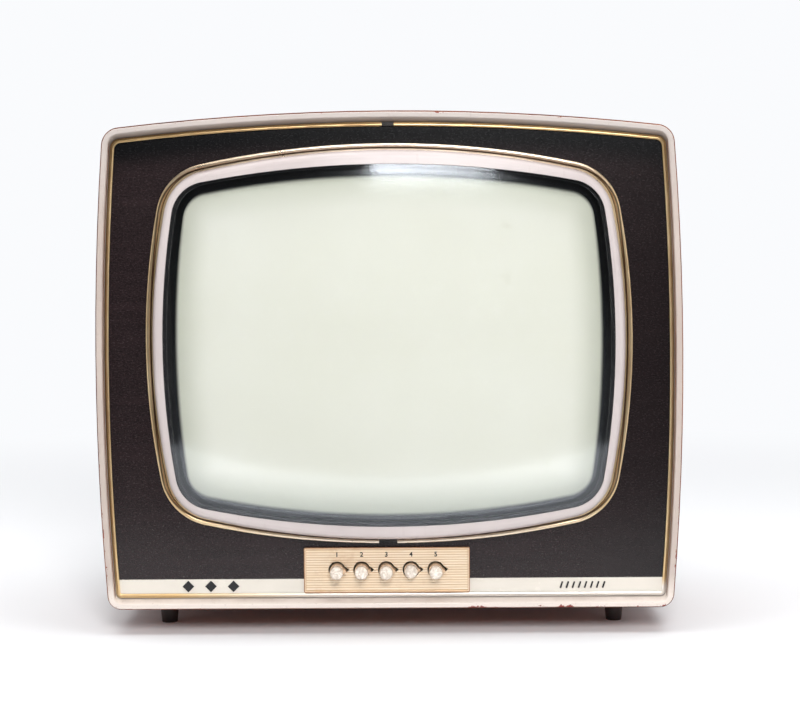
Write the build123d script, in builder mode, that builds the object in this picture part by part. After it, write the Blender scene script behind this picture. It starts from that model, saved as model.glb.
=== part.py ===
from build123d import *

import os

# A 19-inch table television of the 1960s with its cathode ray tube, in millimetres.
# +X is to the viewer's right, +Y runs into the set and +Z is up.
# The origin is on the floor, at the centre of the set's bounding box.

os.makedirs("parts", exist_ok=True)

# ---- driving dimensions ----------------------------------------------------------------------
HALF_WIDTH = 269.5            # half the cabinet's greatest width
HEIGHT = 482.0
DEPTH = 340.0
FOOT_HEIGHT = 24.0
FRONT = -DEPTH / 2            # crest of the safety glass
BACK = DEPTH / 2              # end of the neck cup
RIM_FRONT = FRONT + 24.0
PANEL_FRONT = RIM_FRONT + 9.0
WOOD = 7.0                    # veneered plywood
WOOD_FRONT = RIM_FRONT + 3.5
WOOD_BACK = 64.0
SCREEN_Z = 268.5              # centre of the screen
GLASS_RADIUS = 1250.0         # bulge of the safety glass and of the tube's face
SAFETY_GLASS = 4.0            # its thickness
CLEAR = 0.1                   # fitting gap between pieces of one body

# Picture tube, 110 degree deflection
FACE_APEX = FRONT + 12.0
FACE_HALF = (208.6, 168.6)
FACE_CORNER = 38.0
FACE_BOW = (1000.0, 930.0)    # radii of its sides and of its top
SEAL_Y = -105.0               # joint of the faceplate and the funnel
NECK_RADIUS = 14.3
NECK_START = 0.0
NECK_END = 130.0
TUBE_WALL = 4.0

# Push buttons
BUTTON_PITCH = 22.9
BUTTON_X = -3.9               # centre of the row
BUTTON_Z = 59.4
BUTTON_HOLE = 7.8             # radius; it sits a little high round its collar
HOLE_RISE = 0.6
COLLAR_RADIUS = 6.45
CAP_RADIUS = 6.0
SHAFT_RADIUS = 3.0
PLATE_FRONT = PANEL_FRONT - 2.6
BUTTON_FRONT = PLATE_FRONT - 17.0
LATCHED_TRAVEL = 6.0
LATCHED_BUTTON = 4
BUTTONS = range(1, 6)

# Side controls
KNOB_Y = -92.0
KNOB_Z = (176.0, 146.0, 116.0)
KNOB_RADIUS = 10.5


# ---- outlines and planes ----------------------------------------------------------------------
def front_plane(y):
    """Sketch plane facing the viewer at depth y; its axes are X and Z."""
    return Plane.XZ.offset(-y)


def bowed_outline(half_width, side_radius, widest, top, top_radius, bottom, bottom_radius, corners):
    """Face with four slightly bowed sides; corners holds the top and the bottom corner radius."""
    top_x = half_width - (top - widest) ** 2 / (2 * side_radius)
    bottom_x = half_width - (bottom - widest) ** 2 / (2 * side_radius)
    top_z = top - top_x ** 2 / (2 * top_radius)
    bottom_z = bottom + (bottom_x ** 2 / (2 * bottom_radius) if bottom_radius else 0)
    with BuildSketch() as outline:
        with BuildLine():
            ThreePointArc((-top_x, top_z), (0, top), (top_x, top_z))
            ThreePointArc((top_x, top_z), (half_width, widest), (bottom_x, bottom_z))
            if bottom_radius:
                ThreePointArc((bottom_x, bottom_z), (0, bottom), (-bottom_x, bottom_z))
            else:
                Line((bottom_x, bottom_z), (-bottom_x, bottom_z))
            ThreePointArc((-bottom_x, bottom_z), (-half_width, widest), (-top_x, top_z))
        make_face()
        fillet(outline.vertices().group_by(Axis.Y)[-1], corners[0])
        fillet(outline.vertices().group_by(Axis.Y)[0], corners[1])
    return outline.sketch


def cabinet_outline(side_inset, edge_inset, corner_inset):
    """Outline of the cabinet's front, set in from its outer surface."""
    return bowed_outline(
        HALF_WIDTH - side_inset, 2900, SCREEN_Z - 32,
        HEIGHT - edge_inset, 2180, FOOT_HEIGHT + edge_inset, None,
        (max(17 - corner_inset, 1.5), max(13 - corner_inset, 1.5)),
    )


def screen_outline(half_width, half_height, side_radius, top_radius, corner):
    """Outline concentric with the screen."""
    return bowed_outline(
        half_width, side_radius, SCREEN_Z, SCREEN_Z + half_height, top_radius,
        SCREEN_Z - half_height, top_radius, (corner, corner),
    )


def domed_block(outline, apex, back, radius=GLASS_RADIUS):
    """Prism of an outline whose front follows a sphere with its crest at depth apex."""
    with BuildPart() as block:
        with BuildSketch(front_plane(back)):
            add(outline)
        extrude(amount=back - apex)
        with Locations((0, apex + radius, SCREEN_Z)):
            Sphere(radius, mode=Mode.INTERSECT)
    return block.part


def button_x(number):
    return BUTTON_X + (number - 3) * BUTTON_PITCH


WOOD_OUTSIDE = cabinet_outline(0, 0, 0)
WOOD_INSIDE = cabinet_outline(WOOD, WOOD, WOOD)
RIM_OUTSIDE = cabinet_outline(1.2, 1.2, 1.2)
RIM_MOUTH = cabinet_outline(6.4, 5.6, 6)
RIM_THROAT = cabinet_outline(7.5, 10.0, 8)
PANEL_EDGE = cabinet_outline(7.5 + CLEAR, 10.0 + CLEAR, 8)
TRIM_INSIDE = cabinet_outline(11.5, 14.0, 11)
RING_OUTSIDE = screen_outline(223.7, 184.4, 877, 805, 52.3)
RING_INSIDE = screen_outline(216.3, 177.9, 860, 790, 45)
MASK_OUTSIDE = screen_outline(216.0, 177.6, 860, 790, 44.7)
MASK_LIP = screen_outline(206.2, 165.0, 1000, 930, 33)
GLASS_POCKET = screen_outline(209.6, 169.6, 960, 890, 39)
GLASS_EDGE = screen_outline(209.2, 169.2, 960, 890, 38.6)


# ---- cabinet ----------------------------------------------------------------------------------
SPEAKER_Z = 170.0
SPEAKER_Y = -45.0
GRILLE_COUNT = 12
GRILLE_PITCH = 8.0

with BuildPart() as cabinet_shell:
    with BuildSketch(front_plane(WOOD_BACK)):
        add(WOOD_OUTSIDE)
        add(WOOD_INSIDE, mode=Mode.SUBTRACT)
    extrude(amount=WOOD_BACK - WOOD_FRONT)
    # loudspeaker slots in the left side
    with BuildSketch(Plane.YZ.offset(-HALF_WIDTH - 5)):
        with Locations((SPEAKER_Y, SPEAKER_Z)):
            with GridLocations(GRILLE_PITCH, 1, GRILLE_COUNT, 1):
                SlotOverall(78, 3.4, rotation=90)
    extrude(amount=20, mode=Mode.SUBTRACT)
    # window of the control tray in the right side
    with BuildSketch(Plane.YZ.offset(HALF_WIDTH + 5)):
        with Locations((KNOB_Y, KNOB_Z[1])):
            RectangleRounded(34, 96, 6)
    extrude(amount=-20, mode=Mode.SUBTRACT)
    # air slots in the floor
    with BuildSketch(Plane.XY.offset(FOOT_HEIGHT - 2)):
        with Locations((0, 10)):
            with GridLocations(24, 1, 14, 1):
                SlotOverall(60, 6, rotation=90)
    extrude(amount=14, mode=Mode.SUBTRACT)
cabinet_shell.part.label = "cabinet_shell"
export_step(cabinet_shell.part, "parts/cabinet_shell.step")

with BuildPart() as front_rim:
    # land that covers the end of the wood
    with BuildSketch(front_plane(WOOD_FRONT)):
        add(RIM_OUTSIDE)
    extrude(amount=WOOD_FRONT - RIM_FRONT)
    # skirt inside the wood, round the panel
    with BuildSketch(front_plane(PANEL_FRONT + 12)):
        add(cabinet_outline(WOOD + CLEAR, WOOD + CLEAR, WOOD))
    extrude(amount=PANEL_FRONT + 12 - WOOD_FRONT)
    with BuildSketch(front_plane(PANEL_FRONT + 12)):
        add(RIM_THROAT)
    extrude(amount=12, mode=Mode.SUBTRACT)
    # return with its draft
    with BuildSketch(front_plane(PANEL_FRONT)):
        add(RIM_THROAT)
    with BuildSketch(front_plane(RIM_FRONT)):
        add(RIM_MOUTH)
    loft(ruled=True, mode=Mode.SUBTRACT)
    fillet(front_rim.edges().group_by(Axis.Y)[0], 0.9)
front_rim.part.label = "front_rim"
export_step(front_rim.part, "parts/front_rim.step")

TRIM_HEIGHT = 2.3
FLANGE_HEIGHT = 0.8
TOP_GAP = 11.0
BOTTOM_GAP = 17.0
BOTTOM_GAP_X = -2.0
TRIM_BEAD = cabinet_outline(8.8, 11.3, 9)
TRIM_FLANGE = cabinet_outline(9.2, 11.7, 9)

with BuildPart() as outer_trim:
    # half-round bead beside a low flange
    with BuildSketch(front_plane(PANEL_FRONT)):
        add(TRIM_BEAD)
        add(TRIM_INSIDE, mode=Mode.SUBTRACT)
    extrude(amount=TRIM_HEIGHT)
    fillet(outer_trim.edges().group_by(Axis.Y)[0], 1.25)
    with BuildSketch(front_plane(PANEL_FRONT)):
        add(PANEL_EDGE)
        add(TRIM_FLANGE, mode=Mode.SUBTRACT)
    extrude(amount=FLANGE_HEIGHT)
    with Locations((0, PANEL_FRONT - 5, HEIGHT - 12)):
        Box(TOP_GAP, 10, 20, mode=Mode.SUBTRACT)
outer_trim.part.label = "outer_trim"
export_step(outer_trim.part, "parts/outer_trim.step")

with BuildPart() as front_panel:
    with BuildSketch(front_plane(PANEL_FRONT + 4)):
        add(PANEL_EDGE)
        add(RING_INSIDE, mode=Mode.SUBTRACT)
        with Locations((BUTTON_X, BUTTON_Z)):
            RectangleRounded(130, 24, 3, mode=Mode.SUBTRACT)
    extrude(amount=4)
front_panel.part.label = "front_panel"
export_step(front_panel.part, "parts/front_panel.step")

RING_HEIGHT = 2.8
RING_BEAD_HEIGHT = 1.9
RING_BEAD = screen_outline(219.2, 180.5, 867, 796, 47.8)      # inner edge of the broad bead
THIN_BEAD = screen_outline(218.3, 179.6, 865, 794, 46.9)      # outer edge of the thin one
RING_BASE = screen_outline(221.2, 182.2, 870, 799, 49.8)

with BuildPart() as screen_trim:
    # broad outer bead and thin inner bead on one base
    with BuildSketch(front_plane(PANEL_FRONT)):
        add(RING_OUTSIDE)
        add(RING_BEAD, mode=Mode.SUBTRACT)
    extrude(amount=RING_HEIGHT)
    fillet(screen_trim.edges().group_by(Axis.Y)[0], 1.6)
    for outline, height in ((THIN_BEAD, RING_BEAD_HEIGHT), (RING_BASE, FLANGE_HEIGHT)):
        with BuildSketch(front_plane(PANEL_FRONT)):
            add(outline)
            add(RING_INSIDE, mode=Mode.SUBTRACT)
        extrude(amount=height)
    with Locations((BOTTOM_GAP_X, PANEL_FRONT - 5, SCREEN_Z - 180)):
        Box(BOTTOM_GAP, 10, 20, mode=Mode.SUBTRACT)
screen_trim.part.label = "screen_trim"
export_step(screen_trim.part, "parts/screen_trim.step")

with BuildPart() as trim_clips:
    # one spring clip in each trim's gap
    for x, z, width, height in (
        (0, HEIGHT - 12.2, TOP_GAP - 0.6, 3.4),
        (BOTTOM_GAP_X, SCREEN_Z - 180.6, BOTTOM_GAP - 0.6, 4.4),
    ):
        with Locations((x, PANEL_FRONT - 0.6, z)):
            Box(width, 1.2, height)
        with Locations((x, PANEL_FRONT - 1.5, z)):
            Box(width * 0.6, 0.6, height * 0.55)
trim_clips.part.label = "trim_clips"
export_step(trim_clips.part, "parts/trim_clips.step")

LIP_APEX = FRONT - 1.5                # the lip stands just proud of the glass
MASK_BACK = PANEL_FRONT + 12.0
MASK_FLANGE = screen_outline(226.0, 188.0, 870, 800, 58)

with BuildPart() as screen_mask:
    add(domed_block(MASK_OUTSIDE, LIP_APEX, MASK_BACK))
    outer_edges = screen_mask.edges().filter_by(lambda edge: edge.center().Y < PANEL_FRONT)
    fillet(outer_edges.group_by(Axis.Y)[0], 7.5)
    with BuildSketch(front_plane(MASK_BACK)):
        add(MASK_LIP)
    extrude(amount=MASK_BACK - FRONT + 5, mode=Mode.SUBTRACT)
    add(domed_block(GLASS_POCKET, FRONT - CLEAR, MASK_BACK), mode=Mode.SUBTRACT)
    # flange behind the panel
    with BuildSketch(front_plane(PANEL_FRONT + 7)):
        add(MASK_FLANGE)
        add(GLASS_POCKET, mode=Mode.SUBTRACT)
    extrude(amount=3 - CLEAR)
screen_mask.part.label = "screen_mask"
export_step(screen_mask.part, "parts/screen_mask.step")

STRIP_Z = (38.2, 51.2)
STRIP_HALF_WIDTH = HALF_WIDTH - 12.2
STRIP_THICK = 1.2

with BuildPart() as name_strip:
    with BuildSketch(front_plane(PANEL_FRONT)):
        add(TRIM_INSIDE)
        with Locations((0, sum(STRIP_Z) / 2)):
            Rectangle(2 * STRIP_HALF_WIDTH, STRIP_Z[1] - STRIP_Z[0], mode=Mode.INTERSECT)
    extrude(amount=STRIP_THICK)
name_strip.part.label = "name_strip"
export_step(name_strip.part, "parts/name_strip.step")

EMBLEM_Z = sum(STRIP_Z) / 2

with BuildPart() as strip_emblems:
    # three plain lozenges at the left and a row of slanted ticks at the right
    with BuildSketch(front_plane(PANEL_FRONT - STRIP_THICK)):
        with Locations((-167, EMBLEM_Z)):
            with GridLocations(21, 1, 3, 1):
                RegularPolygon(5.4, 4, rotation=0)
        with Locations((178, EMBLEM_Z)):
            with GridLocations(5.6, 1, 8, 1):
                Rectangle(1.5, 6.4, rotation=-18)
    extrude(amount=0.7)
strip_emblems.part.label = "strip_emblems"
export_step(strip_emblems.part, "parts/strip_emblems.step")


# ---- push buttons -----------------------------------------------------------------------------
ESCUTCHEON = (-80.2, 73.3, 38.6, 80.8)      # left, right, bottom, top
RIB_PITCH = 2.35
RIB_WIDTH = 1.5
RIB_COUNT = 16
BORDER = 1.3
ESCUTCHEON_X = (ESCUTCHEON[0] + ESCUTCHEON[1]) / 2
ESCUTCHEON_Z = (ESCUTCHEON[2] + ESCUTCHEON[3]) / 2
ESCUTCHEON_WIDE = ESCUTCHEON[1] - ESCUTCHEON[0]
ESCUTCHEON_HIGH = ESCUTCHEON[3] - ESCUTCHEON[2]


def button_outline(radius, point):
    """Circle with a pointed lug to the right, as a face about the origin."""
    with BuildSketch() as outline:
        Circle(radius)
        with BuildLine():
            Polyline((0, radius * 0.99), (point, 0.6), (point, -0.6), (0, -radius * 0.99), close=True)
        make_face()
    return outline.sketch


NOTCHED_HOLE = button_outline(BUTTON_HOLE, 11.2)
LUGGED_COLLAR = button_outline(COLLAR_RADIUS, 8.6)

with BuildPart() as button_escutcheon:
    with BuildSketch(front_plane(PANEL_FRONT - STRIP_THICK - CLEAR)):
        with Locations((ESCUTCHEON_X, ESCUTCHEON_Z)):
            RectangleRounded(ESCUTCHEON_WIDE, ESCUTCHEON_HIGH, 1.2)
    extrude(amount=PANEL_FRONT - STRIP_THICK - CLEAR - PLATE_FRONT)
    # ribs, and a thin raised border
    with BuildSketch(front_plane(PLATE_FRONT + 0.01)):
        with Locations((ESCUTCHEON_X, ESCUTCHEON_Z)):
            with GridLocations(1, RIB_PITCH, 1, RIB_COUNT):
                Rectangle(ESCUTCHEON_WIDE - 4, RIB_WIDTH)
    extrude(amount=0.7)
    with BuildSketch(front_plane(PLATE_FRONT + 0.01)):
        with Locations((ESCUTCHEON_X, ESCUTCHEON_Z)):
            RectangleRounded(ESCUTCHEON_WIDE, ESCUTCHEON_HIGH, 1.2)
            RectangleRounded(
                ESCUTCHEON_WIDE - 2 * BORDER, ESCUTCHEON_HIGH - 2 * BORDER, 0.6, mode=Mode.SUBTRACT
            )
    extrude(amount=1.2)
    for number in BUTTONS:
        with BuildSketch(front_plane(PANEL_FRONT)):
            with Locations((button_x(number), BUTTON_Z + HOLE_RISE)):
                add(NOTCHED_HOLE)
        extrude(amount=8, mode=Mode.SUBTRACT)
button_escutcheon.part.label = "button_escutcheon"
export_step(button_escutcheon.part, "parts/button_escutcheon.step")

UNIT_FRONT = PANEL_FRONT + 22.0
UNIT_BACK = -66.0
UNIT_HOLE = SHAFT_RADIUS + 0.06
COLLAR_BACK = PLATE_FRONT + 14.0
SHAFT_BACK = UNIT_BACK + 8.0

for number in BUTTONS:
    pressed = LATCHED_TRAVEL if number == LATCHED_BUTTON else 0.0
    collar_front = PLATE_FRONT - 8.0 + pressed
    with BuildPart() as collar:
        with BuildSketch(front_plane(COLLAR_BACK + pressed)):
            with Locations((button_x(number), BUTTON_Z)):
                add(LUGGED_COLLAR)
        extrude(amount=COLLAR_BACK + pressed - collar_front)
        with BuildSketch(front_plane(SHAFT_BACK + pressed)):
            with Locations((button_x(number), BUTTON_Z)):
                Circle(SHAFT_RADIUS)
        extrude(amount=SHAFT_BACK - COLLAR_BACK)
        # socket for the cap's spigot
        with BuildSketch(front_plane(collar_front)):
            with Locations((button_x(number), BUTTON_Z)):
                Circle(4.0)
        extrude(amount=-6.5, mode=Mode.SUBTRACT)
    collar.part.label = f"button_collar_{number}"
    export_step(collar.part, f"parts/button_collar_{number}.step")

    with BuildPart() as cap:
        with BuildSketch(front_plane(collar_front - 0.3)):
            with Locations((button_x(number), BUTTON_Z)):
                Circle(CAP_RADIUS)
        extrude(amount=collar_front - 0.3 - (BUTTON_FRONT + pressed))
        fillet(cap.edges().group_by(Axis.Y)[0], 2.6)
        with BuildSketch(front_plane(collar_front - 0.3)):
            with Locations((button_x(number), BUTTON_Z)):
                Circle(3.95)
        extrude(amount=-6.3)
    cap.part.label = f"button_cap_{number}"
    export_step(cap.part, f"parts/button_cap_{number}.step")

with BuildPart() as button_unit:
    # pressed steel frame with two guide walls and a base
    for wall_y in (UNIT_FRONT, UNIT_BACK - 2):
        with BuildSketch(front_plane(wall_y + 2)):
            with Locations((BUTTON_X, 57)):
                Rectangle(134, 40)
            with Locations((BUTTON_X, BUTTON_Z)):
                with GridLocations(BUTTON_PITCH, 1, 5, 1):
                    Circle(UNIT_HOLE, mode=Mode.SUBTRACT)
        extrude(amount=2)
    with Locations((BUTTON_X, (UNIT_FRONT + UNIT_BACK) / 2, 36.5)):
        Box(134, UNIT_BACK - UNIT_FRONT, 1.5)
    # latch bar housing under the shafts
    with Locations((BUTTON_X, UNIT_BACK - 14, 45)):
        Box(120, 14, 17)
button_unit.part.label = "button_unit"
export_step(button_unit.part, "parts/button_unit.step")


# ---- glass and picture tube -------------------------------------------------------------------
with BuildPart() as safety_glass:
    add(domed_block(GLASS_EDGE, FRONT, PANEL_FRONT + 3))
    add(domed_block(WOOD_OUTSIDE, FRONT + SAFETY_GLASS, PANEL_FRONT + 40), mode=Mode.SUBTRACT)
safety_glass.part.label = "safety_glass"
export_step(safety_glass.part, "parts/safety_glass.step")

SEAL_OUTSIDE = screen_outline(*FACE_HALF, 960, 890, FACE_CORNER)
SEAL_INSIDE = screen_outline(203.5, 163.0, 990, 920, 34)

with BuildPart() as dust_seal:
    add(domed_block(SEAL_OUTSIDE, FRONT + SAFETY_GLASS + CLEAR, PANEL_FRONT + 30))
    with BuildSketch(front_plane(PANEL_FRONT + 30)):
        add(SEAL_INSIDE)
    extrude(amount=PANEL_FRONT + 30 - FRONT, mode=Mode.SUBTRACT)
    add(domed_block(WOOD_OUTSIDE, FACE_APEX - CLEAR, PANEL_FRONT + 40), mode=Mode.SUBTRACT)
dust_seal.part.label = "dust_seal"
export_step(dust_seal.part, "parts/dust_seal.step")

FACE_THICK = 9.0
PHOSPHOR_THICK = 0.4


def face_outline(grown):
    """Outline of the tube's face, grown or shrunk evenly."""
    return screen_outline(FACE_HALF[0] + grown, FACE_HALF[1] + grown, *FACE_BOW, FACE_CORNER + grown)


with BuildPart() as tube_faceplate:
    add(domed_block(face_outline(0), FACE_APEX, SEAL_Y))
    add(domed_block(face_outline(-FACE_THICK), FACE_APEX + FACE_THICK, SEAL_Y + 1), mode=Mode.SUBTRACT)
tube_faceplate.part.label = "tube_faceplate"
export_step(tube_faceplate.part, "parts/tube_faceplate.step")

PHOSPHOR_FRONT = FACE_APEX + FACE_THICK + 0.05
PICTURE_AREA = Pos(0, -1.2) * screen_outline(198.0, 158.0, 985, 925, 27.5)

with BuildPart() as phosphor_screen:
    add(domed_block(PICTURE_AREA, PHOSPHOR_FRONT, SEAL_Y + 5))
    add(domed_block(WOOD_OUTSIDE, PHOSPHOR_FRONT + PHOSPHOR_THICK, SEAL_Y + 45), mode=Mode.SUBTRACT)
phosphor_screen.part.label = "phosphor_screen"
export_step(phosphor_screen.part, "parts/phosphor_screen.step")

# funnel sections: depth, half width, half height and corner radius
FUNNEL = (
    (SEAL_Y + CLEAR, *FACE_HALF, 60.0),
    (-70.0, 178.0, 146.0, 80.0),
    (-32.0, 98.0, 86.0, 70.0),
    (NECK_START, 22.0, 22.0, 21.5),
)


def funnel_block(inset):
    with BuildPart() as block:
        for y, half_width, half_height, corner in FUNNEL:
            with BuildSketch(front_plane(y)):
                with Locations((0, SCREEN_Z)):
                    RectangleRounded(
                        2 * (half_width - inset), 2 * (half_height - inset), corner - inset
                    )
        loft()
    return block.part


with BuildPart() as tube_funnel:
    add(funnel_block(0))
    add(funnel_block(TUBE_WALL), mode=Mode.SUBTRACT)
tube_funnel.part.label = "tube_funnel"
export_step(tube_funnel.part, "parts/tube_funnel.step")

NECK_WALL = 2.0
FLARE_LENGTH = 8.0
FLARE_RADIUS = 21.5

with BuildPart() as tube_neck:
    with BuildSketch(front_plane(NECK_END)):
        with Locations((0, SCREEN_Z)):
            Circle(NECK_RADIUS)
            Circle(NECK_RADIUS - NECK_WALL, mode=Mode.SUBTRACT)
    extrude(amount=NECK_END - NECK_START - FLARE_LENGTH)
    # flare that meets the funnel
    with BuildSketch(front_plane(NECK_START + FLARE_LENGTH)):
        with Locations((0, SCREEN_Z)):
            Circle(NECK_RADIUS)
            Circle(NECK_RADIUS - NECK_WALL, mode=Mode.SUBTRACT)
    with BuildSketch(front_plane(NECK_START + CLEAR)):
        with Locations((0, SCREEN_Z)):
            Circle(FLARE_RADIUS)
            Circle(FLARE_RADIUS - 3.5, mode=Mode.SUBTRACT)
    loft()
tube_neck.part.label = "tube_neck"
export_step(tube_neck.part, "parts/tube_neck.step")

# electrodes of the gun: start depth, end depth and radius
GUN_GRIDS = ((48, 62, 9.0), (64, 78, 8.0), (80, 92, 6.5), (94, 97, 7.5), (99, 106, 6.0))

with BuildPart() as gun_grids:
    for start, end, radius in GUN_GRIDS:
        with BuildSketch(front_plane(end)):
            with Locations((0, SCREEN_Z)):
                Circle(radius)
                Circle(radius - 0.8, mode=Mode.SUBTRACT)
        extrude(amount=end - start)
gun_grids.part.label = "gun_grids"
export_step(gun_grids.part, "parts/gun_grids.step")

with BuildPart() as cathode:
    with BuildSketch(front_plane(110)):
        with Locations((0, SCREEN_Z)):
            Circle(1.6)
    extrude(amount=10)
    with BuildSketch(front_plane(113)):
        with Locations((0, SCREEN_Z)):
            Circle(4.2)
    extrude(amount=3)
cathode.part.label = "cathode"
export_step(cathode.part, "parts/cathode.step")

with BuildPart() as gun_support_rods:
    with BuildSketch(front_plane(118)):
        with Locations((0, SCREEN_Z)):
            with PolarLocations(10.4, 2, start_angle=0):
                Circle(1.2)
    extrude(amount=118 - 46)
    # getter ring on its wire
    with BuildSketch(front_plane(44)):
        with Locations((0, SCREEN_Z)):
            Circle(7.5)
            Circle(6.3, mode=Mode.SUBTRACT)
    extrude(amount=1.5)
gun_support_rods.part.label = "gun_support_rods"
export_step(gun_support_rods.part, "parts/gun_support_rods.step")

PIN_COUNT = 8
PIN_CIRCLE = 8.5              # radius

with BuildPart() as tube_base:
    with BuildSketch(front_plane(NECK_END + 10)):
        with Locations((0, SCREEN_Z)):
            Circle(NECK_RADIUS)
    extrude(amount=10 - CLEAR)
    with BuildSketch(front_plane(NECK_END + 10)):
        with Locations((0, SCREEN_Z)):
            with PolarLocations(PIN_CIRCLE, PIN_COUNT):
                Circle(0.6)
    extrude(amount=-8)
tube_base.part.label = "tube_base"
export_step(tube_base.part, "parts/tube_base.step")

with BuildPart() as tube_socket:
    with BuildSketch(front_plane(NECK_END + 24)):
        with Locations((0, SCREEN_Z)):
            Circle(17)
            with PolarLocations(PIN_CIRCLE, PIN_COUNT):
                Circle(0.7, mode=Mode.SUBTRACT)
    extrude(amount=14 - CLEAR)
tube_socket.part.label = "tube_socket"
export_step(tube_socket.part, "parts/tube_socket.step")

ANODE = Vector(0, -82.0, SCREEN_Z + 161.0)
ANODE_NORMAL = Vector(0, 0.6, 0.8)
ANODE_PLANE = Plane(origin=ANODE, x_dir=(1, 0, 0), z_dir=ANODE_NORMAL)
LEAD_START = ANODE + ANODE_NORMAL * 12.1

with BuildPart() as anode_cap:
    with BuildSketch(ANODE_PLANE):
        Circle(13)
    with BuildSketch(ANODE_PLANE.offset(12)):
        Circle(5)
    loft()
anode_cap.part.label = "anode_cap"
export_step(anode_cap.part, "parts/anode_cap.step")

with BuildPart() as eht_lead:
    with BuildLine() as lead_route:
        FilletPolyline(
            LEAD_START, LEAD_START + ANODE_NORMAL * 24, (-150, 6, 430),
            (-222, 70, 418), (-222, 76, 240), (-200, 74, 189.5), radius=14,
        )
    with BuildSketch(Plane(origin=LEAD_START, z_dir=ANODE_NORMAL)):
        Circle(2.2)
    sweep(path=lead_route.wires()[0])
eht_lead.part.label = "eht_lead"
export_step(eht_lead.part, "parts/eht_lead.step")

STRAP_Y = -122.0
LUG_SPACING = (426.0, 340.0)

with BuildPart() as tube_strap:
    # steel band round the faceplate with a lug at each corner
    with BuildSketch(front_plane(STRAP_Y + 14)):
        add(face_outline(1.4))
        add(face_outline(0.2), mode=Mode.SUBTRACT)
    extrude(amount=14)
    with BuildSketch(front_plane(STRAP_Y + 14)):
        with Locations((0, SCREEN_Z)):
            with GridLocations(402, 322, 2, 2):
                RectangleRounded(40, 34, 6)
        add(face_outline(0.2), mode=Mode.SUBTRACT)
        with Locations((0, SCREEN_Z)):
            with GridLocations(*LUG_SPACING, 2, 2):
                Circle(3.2, mode=Mode.SUBTRACT)
    extrude(amount=2)
tube_strap.part.label = "tube_strap"
export_step(tube_strap.part, "parts/tube_strap.step")

with BuildPart() as tube_mounts:
    # screw and spacer from each lug to the flange of the mask
    with BuildSketch(front_plane(STRAP_Y + 12 - CLEAR)):
        with Locations((0, SCREEN_Z)):
            with GridLocations(*LUG_SPACING, 2, 2):
                Circle(5)
                Circle(2.6, mode=Mode.SUBTRACT)
    extrude(amount=STRAP_Y + 12 - CLEAR - (PANEL_FRONT + 7 + CLEAR))
    with BuildSketch(front_plane(STRAP_Y + 18)):
        with Locations((0, SCREEN_Z)):
            with GridLocations(*LUG_SPACING, 2, 2):
                RegularPolygon(5.6, 6)
    extrude(amount=4 - CLEAR)
    with BuildSketch(front_plane(STRAP_Y + 18)):
        with Locations((0, SCREEN_Z)):
            with GridLocations(*LUG_SPACING, 2, 2):
                Circle(2.4)
    extrude(amount=STRAP_Y + 18 - (PANEL_FRONT + 7 + CLEAR))
tube_mounts.part.label = "tube_mounts"
export_step(tube_mounts.part, "parts/tube_mounts.step")


# ---- deflection yoke --------------------------------------------------------------------------
def flared_ring(front_y, back_y, front_inner, back_inner, thickness):
    """Conical ring round the tube's axis, wider towards the screen."""
    with BuildPart() as ring:
        with BuildSketch(Plane.XY.offset(SCREEN_Z)):
            with BuildLine():
                Polyline(
                    (front_inner, front_y), (front_inner + thickness, front_y),
                    (back_inner + thickness, back_y), (back_inner, back_y), close=True,
                )
            make_face()
        revolve(axis=Axis((0, 0, SCREEN_Z), (0, 1, 0)))
    return ring.part


with BuildPart() as line_coils:
    # saddle pair, above and below, with a bundle of end turns at each end
    add(flared_ring(2, 36, 23.5, 16, 5))
    add(flared_ring(36, 44, 16, 16, 12))
    with Locations((0, 20, SCREEN_Z)):
        Box(120, 80, 3, mode=Mode.SUBTRACT)
line_coils.part.label = "line_coils"
export_step(line_coils.part, "parts/line_coils.step")

with BuildPart() as yoke_core:
    add(flared_ring(4, 34, 31.5, 24.5, 8))
yoke_core.part.label = "yoke_core"
export_step(yoke_core.part, "parts/yoke_core.step")

with BuildPart() as frame_coils:
    # toroidal windings over the top and the bottom of the core
    add(flared_ring(2, 35.5, 40.2, 33, 4))
    for side in (-1, 1):
        with Locations((side * 40, 20, SCREEN_Z)):
            Box(44, 80, 120, mode=Mode.SUBTRACT)
frame_coils.part.label = "frame_coils"
export_step(frame_coils.part, "parts/frame_coils.step")

with BuildPart() as yoke_clamp:
    with BuildSketch(front_plane(54)):
        with Locations((0, SCREEN_Z)):
            Circle(19)
            Circle(NECK_RADIUS + 0.2, mode=Mode.SUBTRACT)
            with Locations((0, 21)):
                Rectangle(12, 12)
            Rectangle(2.4, 60, mode=Mode.SUBTRACT)
    extrude(amount=9)
    with Locations((0, 49.5, SCREEN_Z + 21)):
        Cylinder(1.8, 18, rotation=(0, 90, 0))
yoke_clamp.part.label = "yoke_clamp"
export_step(yoke_clamp.part, "parts/yoke_clamp.step")

# magnet rings: name, front depth and angle of the tab
for label, start, angle in (("centring_magnet_front", 57, 60), ("centring_magnet_rear", 61, 120)):
    with BuildPart() as magnet:
        with BuildSketch(front_plane(start + 3)):
            with Locations((0, SCREEN_Z)):
                Circle(23)
                with PolarLocations(26, 1, start_angle=angle):
                    RectangleRounded(14, 7, 2)
                Circle(NECK_RADIUS + 0.08, mode=Mode.SUBTRACT)
        extrude(amount=3)
    magnet.part.label = label
    export_step(magnet.part, f"parts/{label}.step")


# ---- chassis ----------------------------------------------------------------------------------
FRAME_Y = 46.0
BOARD_X = 165.0
BOARD_Z = 215.0
BOARD = (150.0, 300.0)

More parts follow.
